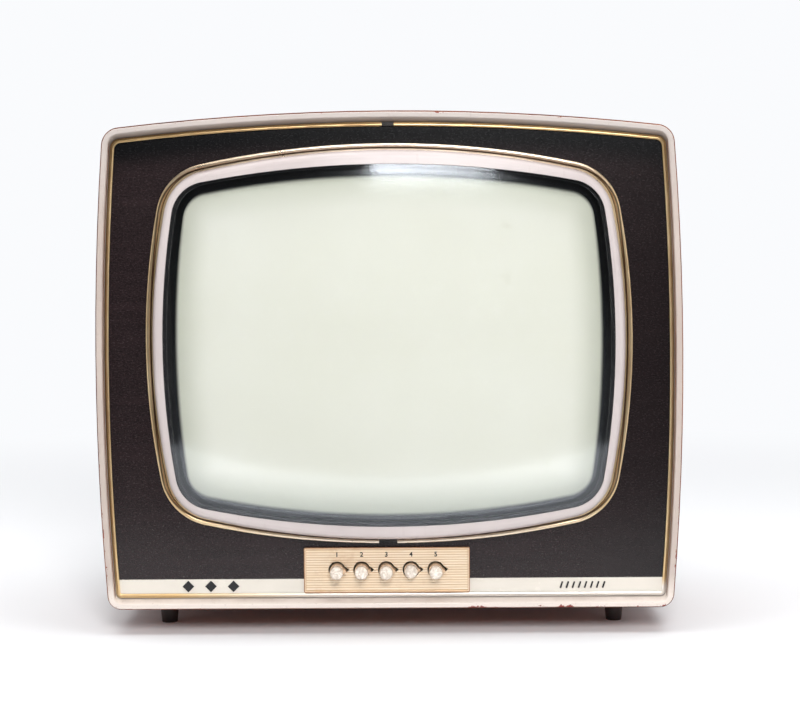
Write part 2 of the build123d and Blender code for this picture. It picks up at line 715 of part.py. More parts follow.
with BuildPart() as chassis_frame:
    # upright steel frame behind the tube, open round the yoke
    with BuildSketch(front_plane(FRAME_Y)):
        with Locations((0, 222)):
            RectangleRounded(506, 360, 4)
        with Locations((-BOARD_X, BOARD_Z), (BOARD_X, BOARD_Z)):
            Rectangle(BOARD[0] - 16, BOARD[1] - 16, mode=Mode.SUBTRACT)
        with Locations((0, SCREEN_Z - 8)):
            RectangleRounded(140, 240, 10, mode=Mode.SUBTRACT)
    extrude(amount=1.6)
chassis_frame.part.label = "chassis_frame"
export_step(chassis_frame.part, "parts/chassis_frame.step")

for label, side in (("timebase_board", -1), ("signal_board", 1)):
    with BuildPart() as board:
        with BuildSketch(front_plane(FRAME_Y + 1.7)):
            with Locations((side * BOARD_X, BOARD_Z)):
                Rectangle(*BOARD)
                with GridLocations(BOARD[0] - 8, BOARD[1] - 8, 2, 2):
                    Circle(1.8, mode=Mode.SUBTRACT)
        extrude(amount=1.6)
    board.part.label = label
    export_step(board.part, f"parts/{label}.step")

COMPONENT_Y = FRAME_Y + 1.8

# places of the valves on the boards, the glass radius and the height
VALVES = (
    [(BOARD_X + x, BOARD_Z + 20 + z, 10.5, 52) for x in (-23, 23) for z in (-62, 0, 62)]
    + [(-BOARD_X + x, BOARD_Z + 90, 13.0, 54) for x in (-26, 26)]
)

with BuildPart() as valves:
    # each valve stands in its moulded holder
    for x, z, radius, height in VALVES:
        with BuildSketch(front_plane(COMPONENT_Y)):
            with Locations((x, z)):
                Circle(radius)
        extrude(amount=-height)
    fillet(valves.edges().group_by(Axis.Y)[-1] + valves.edges().group_by(Axis.Y)[-2], 6)
    for x, z, radius, height in VALVES:
        with BuildSketch(front_plane(COMPONENT_Y)):
            with Locations((x, z)):
                Circle(radius + 1.5)
        extrude(amount=-10)
valves.part.label = "valves"
export_step(valves.part, "parts/valves.step")

with BuildPart() as electrolytic_cans:
    with BuildSketch(front_plane(COMPONENT_Y)):
        with Locations((BOARD_X - 30, BOARD_Z - 105), (BOARD_X + 22, BOARD_Z - 105)):
            Circle(17.5)
    extrude(amount=-52)
    fillet(electrolytic_cans.edges().group_by(Axis.Y)[-1], 2)
electrolytic_cans.part.label = "electrolytic_cans"
export_step(electrolytic_cans.part, "parts/electrolytic_cans.step")

with BuildPart() as line_output_transformer:
    # ferrite frame and its two windings
    with BuildSketch(front_plane(COMPONENT_Y + 2)):
        with Locations((-BOARD_X, BOARD_Z - 40)):
            Rectangle(80, 70)
            Rectangle(50, 42, mode=Mode.SUBTRACT)
    extrude(amount=-16)
    with Locations((-BOARD_X - 32, COMPONENT_Y + 26, BOARD_Z - 40)):
        Cylinder(22, 26)
    with Locations((-BOARD_X + 32, COMPONENT_Y + 26, BOARD_Z - 40)):
        Cylinder(14, 34)
line_output_transformer.part.label = "line_output_transformer"
export_step(line_output_transformer.part, "parts/line_output_transformer.step")

with BuildPart() as tuner_unit:
    with Locations((BUTTON_X, -28, 66)):
        Box(150, 34, 54)
    with Locations((BUTTON_X, -28, 96)):
        with GridLocations(34, 1, 4, 1):
            Cylinder(7, 8)
tuner_unit.part.label = "tuner_unit"
export_step(tuner_unit.part, "parts/tuner_unit.step")


# ---- loudspeaker ------------------------------------------------------------------------------
SPEAKER_WALL = -HALF_WIDTH + WOOD + 6.0

with BuildPart() as loudspeaker_frame:
    # flange, basket and magnet, firing through the slots in the left side
    with BuildSketch(Plane.YZ.offset(SPEAKER_WALL)):
        with Locations((SPEAKER_Y, SPEAKER_Z)):
            RectangleRounded(100, 100, 18)
            Circle(44, mode=Mode.SUBTRACT)
    extrude(amount=2)
    with BuildSketch(Plane.YZ.offset(SPEAKER_WALL + 2)):
        with Locations((SPEAKER_Y, SPEAKER_Z)):
            Circle(46)
    with BuildSketch(Plane.YZ.offset(SPEAKER_WALL + 20)):
        with Locations((SPEAKER_Y, SPEAKER_Z)):
            Circle(17)
    loft()
    with BuildSketch(Plane.YZ.offset(SPEAKER_WALL + 1.9)):
        with Locations((SPEAKER_Y, SPEAKER_Z)):
            Circle(44)
    with BuildSketch(Plane.YZ.offset(SPEAKER_WALL + 18)):
        with Locations((SPEAKER_Y, SPEAKER_Z)):
            Circle(15)
    loft(mode=Mode.SUBTRACT)
loudspeaker_frame.part.label = "loudspeaker_frame"
export_step(loudspeaker_frame.part, "parts/loudspeaker_frame.step")

with BuildPart() as loudspeaker_cone:
    with BuildSketch(Plane.YZ.offset(SPEAKER_WALL + 0.5)):
        with Locations((SPEAKER_Y, SPEAKER_Z)):
            Circle(43)
    with BuildSketch(Plane.YZ.offset(SPEAKER_WALL + 15)):
        with Locations((SPEAKER_Y, SPEAKER_Z)):
            Circle(13)
    loft()
    with BuildSketch(Plane.YZ.offset(SPEAKER_WALL + 0.4)):
        with Locations((SPEAKER_Y, SPEAKER_Z)):
            Circle(41.5)
    with BuildSketch(Plane.YZ.offset(SPEAKER_WALL + 14)):
        with Locations((SPEAKER_Y, SPEAKER_Z)):
            Circle(11.5)
    loft(mode=Mode.SUBTRACT)
loudspeaker_cone.part.label = "loudspeaker_cone"
export_step(loudspeaker_cone.part, "parts/loudspeaker_cone.step")


# ---- side controls ----------------------------------------------------------------------------
TRAY_FLOOR = HALF_WIDTH - 14.0
KNOB_TOP = HALF_WIDTH - 3.0

with BuildPart() as control_tray:
    # recessed tray in the right side
    with BuildSketch(Plane.YZ.offset(TRAY_FLOOR - 2)):
        with Locations((KNOB_Y, KNOB_Z[1])):
            RectangleRounded(33.6, 95.6, 5.8)
    extrude(amount=13.5)
    with BuildSketch(Plane.YZ.offset(TRAY_FLOOR)):
        with Locations((KNOB_Y, KNOB_Z[1])):
            RectangleRounded(30, 92, 4)
    extrude(amount=20, mode=Mode.SUBTRACT)
    with BuildSketch(Plane.YZ.offset(TRAY_FLOOR - 3)):
        for knob_z in KNOB_Z:
            with Locations((KNOB_Y, knob_z)):
                Circle(3.06)
    extrude(amount=6, mode=Mode.SUBTRACT)
control_tray.part.label = "control_tray"
export_step(control_tray.part, "parts/control_tray.step")

for label, knob_z in zip(("volume_knob", "brightness_knob", "contrast_knob"), KNOB_Z):
    with BuildPart() as knob:
        with BuildSketch(Plane.YZ.offset(TRAY_FLOOR + 1)):
            with Locations((KNOB_Y, knob_z)):
                Circle(KNOB_RADIUS)
                with PolarLocations(KNOB_RADIUS, 24):
                    Circle(0.7, mode=Mode.SUBTRACT)
        extrude(amount=KNOB_TOP - TRAY_FLOOR - 1)
        # raised pointer rib, and the spindle through the tray
        with Locations((KNOB_TOP + 0.5, KNOB_Y, knob_z + KNOB_RADIUS / 2)):
            Box(1.4, 1.6, KNOB_RADIUS - 2)
        with BuildSketch(Plane.YZ.offset(TRAY_FLOOR + 1)):
            with Locations((KNOB_Y, knob_z)):
                Circle(3.0)
        extrude(amount=-16)
    knob.part.label = label
    export_step(knob.part, f"parts/{label}.step")


# ---- rear cover and what is on it -------------------------------------------------------------
COVER_EDGE = WOOD_BACK - 6.0
COVER_WALL = 2.6
COVER_FLAT = 118.0
CUP_FRONT = COVER_FLAT - 4.0
COVER_SCREWS = (
    [(x, 462.5) for x in (-120, 0, 120)]
    + [(x, 37.7) for x in (-200, 0, 200)]
    + [(x, z) for x in (-252.4, 252.4) for z in (172, 332)]
)
SCREW_SEAT = COVER_EDGE + COVER_WALL + CLEAR
SCREW_HEAD = 2.6
PANEL_CUT = (70.0, 44.0)
AERIAL = (150.0, 96.0)
MAINS = (-150.0, 96.0)


def cover_block(inset):
    """Solid of the cover's outer form, drawn inwards by inset."""
    with BuildPart() as block:
        with BuildSketch(front_plane(COVER_EDGE)):
            with Locations((0, 250)):
                RectangleRounded(2 * (246 - inset), 2 * (206 - inset), 16)
        with BuildSketch(front_plane(COVER_FLAT - inset)):
            with Locations((0, 244)):
                RectangleRounded(2 * (214 - inset), 2 * (176 - inset), 20)
        loft()
        with BuildSketch(front_plane(CUP_FRONT - inset)):
            with Locations((0, SCREEN_Z)):
                Circle(56 - inset)
        with BuildSketch(front_plane(BACK - inset)):
            with Locations((0, SCREEN_Z)):
                Circle(38 - inset)
        loft()
    return block.part


with BuildPart() as rear_cover:
    # flange that seats inside the back of the cabinet
    with BuildSketch(front_plane(COVER_EDGE + COVER_WALL)):
        add(cabinet_outline(WOOD + 0.4, WOOD + 0.4, WOOD))
    extrude(amount=COVER_WALL)
    add(cover_block(0))
    add(cover_block(COVER_WALL), mode=Mode.SUBTRACT)
    # vent slots above and below the neck cup, and at its sides
    for row_z, count in ((384, 22), (348, 22), (132, 10)):
        with BuildSketch(front_plane(COVER_FLAT - 12)):
            with Locations((0, row_z)):
                with GridLocations(16, 1, count, 1):
                    SlotOverall(24, 4.6, rotation=90)
        extrude(amount=-40, mode=Mode.SUBTRACT)
    for side in (-1, 1):
        for row_z in (300, 262, 224, 186):
            with BuildSketch(front_plane(COVER_FLAT - 12)):
                with Locations((side * 136, row_z)):
                    with GridLocations(16, 1, 8, 1):
                        SlotOverall(24, 4.6, rotation=90)
            extrude(amount=-40, mode=Mode.SUBTRACT)
    # windows of the aerial panel and the mains inlet
    with BuildSketch(front_plane(COVER_FLAT - 12)):
        for place in (AERIAL, MAINS):
            with Locations(place):
                RectangleRounded(*PANEL_CUT, 3)
    extrude(amount=-40, mode=Mode.SUBTRACT)
    # screw holes in the flange
    with BuildSketch(front_plane(COVER_EDGE + 5)):
        with Locations(*COVER_SCREWS):
            Circle(2.3)
    extrude(amount=10, mode=Mode.SUBTRACT)
rear_cover.part.label = "rear_cover"
export_step(rear_cover.part, "parts/rear_cover.step")

with BuildPart() as rear_cover_screws:
    with BuildSketch(front_plane(SCREW_SEAT)):
        with Locations(*COVER_SCREWS):
            Circle(4.2)
    extrude(amount=-SCREW_HEAD)
    fillet(rear_cover_screws.edges().group_by(Axis.Y)[-1], 1.6)
    # driver slots, each left at its own angle
    for number, place in enumerate(COVER_SCREWS):
        with BuildSketch(front_plane(SCREW_SEAT + SCREW_HEAD + 1)):
            with Locations(place):
                Rectangle(12, 1.1, rotation=37 * number)
        extrude(amount=2.2, mode=Mode.SUBTRACT)
    with BuildSketch(front_plane(SCREW_SEAT)):
        with Locations(*COVER_SCREWS):
            Circle(2.0)
    extrude(amount=12)
rear_cover_screws.part.label = "rear_cover_screws"
export_step(rear_cover_screws.part, "parts/rear_cover_screws.step")

with BuildPart() as aerial_panel:
    # moulded panel with two coaxial sockets
    with BuildSketch(front_plane(COVER_FLAT - 8)):
        with Locations(AERIAL):
            RectangleRounded(PANEL_CUT[0] - 0.4, PANEL_CUT[1] - 0.4, 2.8)
    extrude(amount=-3)
    with BuildSketch(front_plane(COVER_FLAT - 8)):
        with Locations(AERIAL):
            with GridLocations(32, 1, 2, 1):
                Circle(6.5)
    extrude(amount=-9)
    with BuildSketch(front_plane(COVER_FLAT + 1)):
        with Locations(AERIAL):
            with GridLocations(32, 1, 2, 1):
                Circle(4.75)
    extrude(amount=8.5, mode=Mode.SUBTRACT)
aerial_panel.part.label = "aerial_panel"
export_step(aerial_panel.part, "parts/aerial_panel.step")

with BuildPart() as mains_inlet:
    # recessed two-pin inlet
    with BuildSketch(front_plane(COVER_FLAT - 24)):
        with Locations(MAINS):
            RectangleRounded(PANEL_CUT[0] - 0.4, PANEL_CUT[1] - 0.4, 2.8)
    extrude(amount=-22)
    with BuildSketch(front_plane(COVER_FLAT - 20)):
        with Locations(MAINS):
            RectangleRounded(44, 24, 4)
    extrude(amount=-30, mode=Mode.SUBTRACT)
    with BuildSketch(front_plane(COVER_FLAT - 20)):
        with Locations(MAINS):
            with GridLocations(14, 1, 2, 1):
                Circle(2.0)
    extrude(amount=-15)
mains_inlet.part.label = "mains_inlet"
export_step(mains_inlet.part, "parts/mains_inlet.step")

FOOT_X = 213.0
FOOT_Y = (RIM_FRONT + 60, WOOD_BACK - 30)

with BuildPart() as feet:
    # turned tapered feet, screwed up into the cabinet's floor
    for x in (-FOOT_X, FOOT_X):
        for y in FOOT_Y:
            with Locations((x, y, FOOT_HEIGHT / 2 - CLEAR / 2)):
                Cone(7.4, 9.8, FOOT_HEIGHT - CLEAR)
feet.part.label = "feet"
export_step(feet.part, "parts/feet.step")
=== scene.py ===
import math

import bpy
from mathutils import Matrix, Vector


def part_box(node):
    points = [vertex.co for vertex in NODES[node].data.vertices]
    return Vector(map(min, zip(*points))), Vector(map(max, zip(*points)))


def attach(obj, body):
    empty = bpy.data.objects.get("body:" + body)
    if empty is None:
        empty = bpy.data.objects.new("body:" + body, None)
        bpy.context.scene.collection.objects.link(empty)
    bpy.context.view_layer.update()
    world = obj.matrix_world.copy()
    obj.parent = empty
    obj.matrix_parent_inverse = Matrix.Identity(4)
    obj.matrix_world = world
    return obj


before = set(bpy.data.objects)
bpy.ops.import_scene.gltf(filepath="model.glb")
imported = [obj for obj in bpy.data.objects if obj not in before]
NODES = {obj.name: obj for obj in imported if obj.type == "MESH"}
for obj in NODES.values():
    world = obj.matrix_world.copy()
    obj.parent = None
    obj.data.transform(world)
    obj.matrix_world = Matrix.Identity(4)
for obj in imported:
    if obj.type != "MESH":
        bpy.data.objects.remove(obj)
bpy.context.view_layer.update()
BUTTONS = range(1, 6)
SCREEN_Z = sum(corner.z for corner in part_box("safety_glass")) / 2
PANEL_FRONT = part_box("front_panel")[0].y
PANEL_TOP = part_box("front_panel")[1].z

# part.py's outlines: half width, half height, side, top and corner radius
GROOVE_OUTLINE = (0.2192, 0.1805, 0.867, 0.796, 0.0478)
MASK_OUTLINE = (0.216, 0.1776, 0.86, 0.79, 0.0447)
CABINET_TOP_RADIUS = 2.18
CABINET_RADII = (2.9, CABINET_TOP_RADIUS, 0.014)  # one corner radius between its two
PICTURE_RADII = (0.985, 0.925, 0.0275)


# ---- node helpers -------------------------------------------------------------------------------
class Shader:
    """A material's node tree with short calls for the nodes that this scene uses."""

    def __init__(self, name):
        self.material = bpy.data.materials.new(name)
        self.material.use_nodes = True
        self.tree = self.material.node_tree
        self.tree.nodes.clear()
        self.output = self.tree.nodes.new("ShaderNodeOutputMaterial")
        self.place = self.tree.nodes.new("ShaderNodeTexCoord").outputs["Object"]

    def node(self, kind, inputs=None, **settings):
        made = self.tree.nodes.new("ShaderNode" + kind)
        for key, value in settings.items():
            setattr(made, key, value)
        for key, value in (inputs or {}).items():
            self.set(made.inputs[key], value)
        return made

    def set(self, socket, value):
        if isinstance(value, bpy.types.NodeSocket):
            self.tree.links.new(value, socket)
        elif isinstance(value, bpy.types.Node):
            self.tree.links.new(value.outputs[0], socket)
        else:
            socket.default_value = value

    def math(self, operation, first, second=0.0, third=None):
        made = self.node("Math", {0: first, 1: second}, operation=operation)
        if third is not None:
            self.set(made.inputs[2], third)
        return made.outputs[0]

    def times(self, first, second):
        return self.math("MULTIPLY", first, second)

    def minus(self, first, second):
        return self.math("SUBTRACT", first, second)

    def split(self, vector=None):
        return self.node("SeparateXYZ", {0: vector or self.place}).outputs

    def join(self, x, y, z):
        return self.node("CombineXYZ", {0: x, 1: y, 2: z}).outputs[0]

    def length(self, x, y, z):
        made = self.node("VectorMath", {0: self.join(x, y, z)}, operation="LENGTH")
        return made.outputs["Value"]

    def scaled(self, scale):
        return self.node("Mapping", {"Vector": self.place, "Scale": scale}).outputs[0]

    def noise(self, scale, detail=3.0, rough=0.5, vector=None, distort=0.0):
        made = self.node("TexNoise", {
            "Vector": vector or self.place, "Scale": scale, "Detail": detail,
            "Roughness": rough, "Distortion": distort,
        })
        return made.outputs[0]

    def ramp(self, value, low, high, out_low=0.0, out_high=1.0, kind="LINEAR"):
        """From out_low to out_high as value goes from low to high, and held beyond them."""
        made = self.node("MapRange", {
            "Value": value, "From Min": low, "From Max": high,
            "To Min": out_low, "To Max": out_high,
        }, clamp=True, interpolation_type=kind)
        return made.outputs[0]

    def smooth(self, value, low, high, out_low=0.0, out_high=1.0):
        return self.ramp(value, low, high, out_low, out_high, "SMOOTHSTEP")

    def choose(self, factor, first, second):
        """Number between first, at factor 0, and second, at factor 1."""
        return self.node("Mix", {0: factor, 2: first, 3: second}, data_type="FLOAT").outputs[0]

    def mix(self, factor, first, second):
        """Colour between first, at factor 0, and second, at factor 1."""
        made = self.node("Mix", {0: factor, 6: first, 7: second}, data_type="RGBA")
        return made.outputs[2]

    def bump(self, height, strength, distance):
        made = self.node("Bump", {"Height": height, "Strength": strength, "Distance": distance})
        return made.outputs[0]

    def bowed_sides(self, outline, middle, flat_bottom):
        """Distances in from an outline's bowed sides and top, and the place they come from."""
        half_x, half_z, side_radius, top_radius, _ = outline
        x, _, z = self.split()
        across = self.math("ABSOLUTE", x)
        up = self.minus(z, middle)
        rise = up if flat_bottom else self.math("ABSOLUTE", up)
        from_side_center = self.length(self.minus(across, half_x - side_radius), 0.0, up)
        from_top_center = self.length(x, 0.0, self.minus(rise, half_z - top_radius))
        side = self.minus(side_radius, from_side_center)
        top = self.minus(top_radius, from_top_center)
        if flat_bottom:
            top = self.math("MINIMUM", top, self.math("ADD", up, half_z))
        return side, top, across, rise

    def edge_depth(self, outline, middle):
        """Distance in from an outline whose top and foot match; middle is its middle's Z."""
        half_x, half_z, side_radius, top_radius, corner = outline
        side, top, across, rise = self.bowed_sides(outline, middle, False)
        center = Vector((*corner_center(outline), 0.0))
        along_side = Vector((-center.y, center.x - (half_x - side_radius), 0.0))
        along_top = Vector((center.y - (half_z - top_radius), -center.x, 0.0))
        offset = self.node(
            "VectorMath", {0: self.join(across, rise, 0.0), 1: center}, operation="SUBTRACT",
        ).outputs[0]
        beyond = []
        for direction in (along_side, along_top):
            made = self.node("VectorMath", {0: offset, 1: direction}, operation="DOT_PRODUCT")
            beyond.append(self.math("GREATER_THAN", made.outputs["Value"], 0.0))
        in_corner = self.times(*beyond)
        from_center = self.node("VectorMath", {0: offset}, operation="LENGTH").outputs["Value"]
        straight = self.math("MINIMUM", side, top)
        return self.choose(in_corner, straight, self.minus(corner, from_center))

    def flat_foot_depth(self, outline, middle):
        """Distance in from an outline with a straight foot; close enough at its small corners."""
        corner = outline[-1]
        side, top, _, _ = self.bowed_sides(outline, middle, True)
        near_side = self.math("MAXIMUM", self.minus(corner, side), 0.0)
        near_top = self.math("MAXIMUM", self.minus(corner, top), 0.0)
        rounded = self.length(near_side, near_top, 0.0)
        deep = self.math("MAXIMUM", self.minus(self.math("MINIMUM", side, top), corner), 0.0)
        return self.math("ADD", self.minus(corner, rounded), deep)

    def surface(self, shader):
        self.tree.links.new(shader.outputs[0], self.output.inputs["Surface"])
        return self.material

    def finish(self, **inputs):
        """Ends the tree in a Principled shader; a keyword names a socket, with _ for a space."""
        names = {key.replace("_", " "): value for key, value in inputs.items()}
        return self.surface(self.node("BsdfPrincipled", names))


def rgb(red, green, blue):
    """Linear colour from sRGB values of 0 to 255."""
    def linear(value):
        value /= 255
        return value / 12.92 if value <= 0.04045 else ((value + 0.055) / 1.055) ** 2.4
    return linear(red), linear(green), linear(blue), 1.0


def darker(color, share):
    return tuple(channel * share for channel in color[:3]) + (1.0,)


def corner_center(outline):
    """Centre of the corner arc of an outline with bowed sides, from the outline's middle."""
    half_x, half_z, side_radius, top_radius, corner = outline
    side = Vector((half_x - side_radius, 0.0))
    top = Vector((0.0, half_z - top_radius))
    between = top - side
    near, far = side_radius - corner, top_radius - corner
    along = (near ** 2 - far ** 2 + between.length_squared) / (2 * between.length)
    across = math.sqrt(near ** 2 - along ** 2)
    step = between.normalized()
    return side + step * along + Vector((-step.y, step.x)) * across


def plain(name, color, rough, mottle=0.12, scale=60.0, bump=0.15, **more):
    """Moulded or painted surface: mottled colour, uneven gloss and a fine pebble."""
    s = Shader(name)
    patches = s.noise(scale, 4.0, 0.6)
    pebble = s.noise(scale * 22, 2.0, 0.5)
    return s.finish(
        Base_Color=s.mix(s.ramp(patches, 0.3, 0.7), darker(color, 1 - mottle), color),
        Roughness=s.ramp(patches, 0.3, 0.7, rough * 0.85, min(rough * 1.2, 1.0)),
        Normal=s.bump(pebble, bump, 0.0002), **more,
    )


# ---- cabinet materials --------------------------------------------------------------------------
def teak():
    """Veneer grained across the top and up the sides, its underside paler by painted floor light.
    """
    s = Shader("teak_veneer")
    x, y, z = s.split()
    normal = s.split(s.node("NewGeometry").outputs["Normal"])
    on_side = s.math("GREATER_THAN", s.math("ABSOLUTE", normal[0]), 0.7)
    along = s.choose(on_side, x, z)
    depth = s.choose(on_side, z, x)
    wander = s.times(s.minus(s.noise(3.0, 2.0), 0.5), 0.05)
    across = s.math("ADD", y, wander)

    def stretched(along_scale, across_scale):
        return s.join(s.times(along, along_scale), s.times(across, across_scale), depth)

    bands = s.noise(3.0, 5.0, 0.62, stretched(0.9, 26.0), 0.6)
    fibre = s.noise(60.0, 3.0, 0.6, stretched(0.35, 12.0))
    pores = s.noise(220.0, 2.0, 0.5, stretched(0.10, 7.0))
    tone = s.mix(s.ramp(bands, 0.36, 0.66), rgb(84, 38, 20), rgb(150, 82, 44))
    tone = s.mix(s.ramp(fibre, 0.35, 0.75, 0.0, 0.55), tone, rgb(112, 54, 28))
    tone = s.mix(s.ramp(pores, 0.60, 0.72, 0.0, 0.6), tone, rgb(48, 22, 12))
    # painted light: the underside is paler and redder, as if lit from the floor below
    tone = s.mix(s.math("LESS_THAN", normal[2], -0.7), tone, rgb(140, 60, 22))
    height = s.math("ADD", s.times(fibre, 0.4), s.times(pores, -0.6))
    return s.finish(
        Base_Color=tone, Roughness=s.ramp(fibre, 0.3, 0.7, 0.36, 0.52), Coat_Weight=0.1,
        Coat_Roughness=0.22, Specular_IOR_Level=0.35, Normal=s.bump(height, 0.35, 0.0004),
    )


def rim_plastic():
    """Aged cream moulding, with small reddish chips and rubs along its outer edge.

    The paler foot, greyer top and dark recess follow the photograph's light, not dirt seen on it.
    """
    s = Shader("rim_moulding")
    x, y, z = s.split()
    clouds = s.noise(9.0, 4.0, 0.6)
    speck = s.noise(420.0, 2.0, 0.5)
    low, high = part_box("cabinet_shell")
    middle = (low.z + high.z) / 2
    edge = s.flat_foot_depth((high.x, high.z - middle, *CABINET_RADII), middle)
    tone = s.mix(s.ramp(clouds, 0.35, 0.7), rgb(186, 171, 162), rgb(199, 185, 176))
    tone = s.mix(s.ramp(z, 0.055, 0.036), tone, rgb(226, 214, 205))
    tone = s.mix(s.ramp(z, 0.38, 0.46, 0.0, 0.8), tone, rgb(190, 181, 176))
    tone = s.mix(s.ramp(speck, 0.62, 0.74, 0.0, 0.22), tone, rgb(160, 140, 130))
    recess_front = s.ramp(z, 0.40, 0.46, PANEL_FRONT - 0.0028, PANEL_FRONT - 0.0086)
    recess = s.ramp(y, recess_front, PANEL_FRONT, 0.0, 0.95)
    tone = s.mix(recess, tone, rgb(40, 31, 28))
    # painted shade: past the front land, the inner return is greyed in uneven patches
    return_shade_patches = s.ramp(s.noise(40.0, 4.0, 0.6), 0.35, 0.7, 0.1, 0.4)
    tone = s.mix(s.times(s.ramp(edge, 0.0058, 0.0078), return_shade_patches), tone, rgb(150, 132, 120))
    lower_right = s.times(s.ramp(z, 0.040, 0.034, 0.0, 0.09), s.ramp(x, 0.02, 0.07))
    chip_reach = s.ramp(
        s.math("ADD", s.noise(55.0, 4.0, 0.7), lower_right), 0.58, 0.72, 0.0012, 0.0046)
    chip_shape = s.ramp(s.math("ADD", s.noise(90.0, 3.0, 0.7), lower_right), 0.56, 0.6)
    chips = s.times(s.ramp(s.minus(chip_reach, edge), 0.0, 0.0003), chip_shape)
    tone = s.mix(chips, tone, rgb(128, 44, 30))
    height = s.minus(s.times(speck, 0.3), chips)
    return s.finish(
        Base_Color=tone, Roughness=s.ramp(clouds, 0.3, 0.7, 0.34, 0.46), IOR=1.49,
        Normal=s.bump(height, 0.25, 0.0003),
    )


def panel_cloth():
    """Dark vinyl pressed with a fine grain over horizontal threads.

    The black band under the top and the darker right side stand for the photograph's shadow.
    """
    s = Shader("panel_weave")
    x, _, z = s.split()
    thread_pitch = 0.0013
    slub = s.noise(1.0, 3.0, 0.6, s.scaled((90.0, 1.0, 900.0)))
    turn = s.math("ADD", s.times(z, 2 * math.pi / thread_pitch), s.times(slub, 5.0))
    rows = s.math("SINE", turn)
    grain = s.noise(1.0, 4.0, 0.62, s.scaled((420.0, 1.0, 760.0)))
    streak = s.noise(1.0, 4.0, 0.65, s.scaled((7.0, 1.0, 110.0)))
    dust = s.noise(14.0, 4.0, 0.65)
    tone = s.mix(s.ramp(grain, 0.32, 0.7), rgb(25, 17, 18), rgb(39, 28, 30))
    tone = s.mix(s.ramp(streak, 0.45, 0.75, 0.0, 0.3), tone, rgb(50, 36, 38))
    tone = s.mix(s.ramp(dust, 0.45, 0.75, 0.0, 0.04), tone, rgb(96, 82, 80))
    tone = s.mix(s.ramp(x, 0.16, 0.25, 0.0, 0.6), tone, rgb(12, 6, 7))
    bow = s.math("DIVIDE", s.times(x, x), 2 * CABINET_TOP_RADIUS)
    below_top = s.minus(s.minus(PANEL_TOP, z), bow)
    tone = s.mix(s.smooth(below_top, 0.010, 0.034, 1.0, 0.0), tone, rgb(4, 4, 6))
    height = s.math("ADD", grain, s.times(rows, 0.18))
    return s.finish(
        Base_Color=tone, Roughness=s.ramp(grain, 0.3, 0.7, 0.2, 0.3),
        Specular_IOR_Level=0.42, Normal=s.bump(height, 0.026, 0.0004),
    )


def gold(name, bright, dull, rough, top_tone, top_share, foot_range, foot_share, groove_share):
    """Gold-coloured anodised metal, dulled in soft patches, with painted shade as brown lines on
    the flange and in the groove.

    The tones at its top and foot follow the photograph's light and are not wear seen on it.
    """
    s = Shader(name)
    x, y, z = s.split()
    tarnish = s.noise(14.0, 4.0, 0.6)
    spots = s.noise(520.0, 2.0, 0.6)
    tone = s.mix(s.ramp(tarnish, 0.35, 0.7), dull, bright)
    tone = s.mix(s.ramp(spots, 0.70, 0.80, 0.0, 0.15), tone, rgb(120, 84, 48))
    foot = s.times(s.ramp(z, *foot_range, 0.0, foot_share), s.ramp(x, -0.20, -0.06))
    tone = s.mix(foot, tone, rgb(255, 252, 247))
    tone = s.mix(s.ramp(z, 0.405, 0.450, 0.0, top_share), tone, top_tone)
    # painted shade: the flange at the foot of the bead goes brown, less so towards the bottom
    near_panel = s.ramp(y, PANEL_FRONT - 0.0013, PANEL_FRONT - 0.0008)
    flange = s.times(near_panel, s.ramp(z, 0.040, 0.055, 0.35, 0.75))
    tone = s.mix(flange, tone, rgb(104, 72, 44))
    # painted shade: the groove between the ring's two beads goes dark brown
    depth = s.edge_depth(GROOVE_OUTLINE, SCREEN_Z)
    trench = s.times(s.ramp(depth, -0.0006, 0.0001), s.ramp(depth, 0.0015, 0.0009))
    tone = s.mix(s.times(trench, groove_share), tone, rgb(70, 44, 28))
    return s.finish(
        Base_Color=tone, Metallic=1.0, Roughness=s.ramp(tarnish, 0.3, 0.75, rough, rough + 0.08),
        Normal=s.bump(spots, 0.03, 0.0001),
    )


def mask_plastic():
    """Pale satin moulding, faintly scratched, with painted shade where it meets the trim."""
    s = Shader("mask_moulding")
    clouds = s.noise(7.0, 4.0, 0.6)
    fine = s.noise(700.0, 2.0, 0.5)
    scratch = s.noise(1.0, 2.0, 0.5, s.scaled((160.0, 160.0, 9.0)))
    tone = s.mix(s.ramp(clouds, 0.3, 0.7), rgb(188, 177, 175), rgb(203, 193, 191))
    tone = s.mix(s.ramp(scratch, 0.66, 0.72, 0.0, 0.2), tone, rgb(176, 162, 158))
    depth = s.edge_depth(MASK_OUTLINE, SCREEN_Z)
    # painted shade along the outer edge, next to the trim
    tone = s.mix(s.ramp(depth, 0.0035, 0.0, 0.0, 0.5), tone, rgb(140, 118, 116))
    return s.finish(
        Base_Color=tone, Roughness=s.ramp(clouds, 0.3, 0.7, 0.30, 0.40), IOR=1.49,
        Normal=s.bump(fine, 0.06, 0.0001),
    )


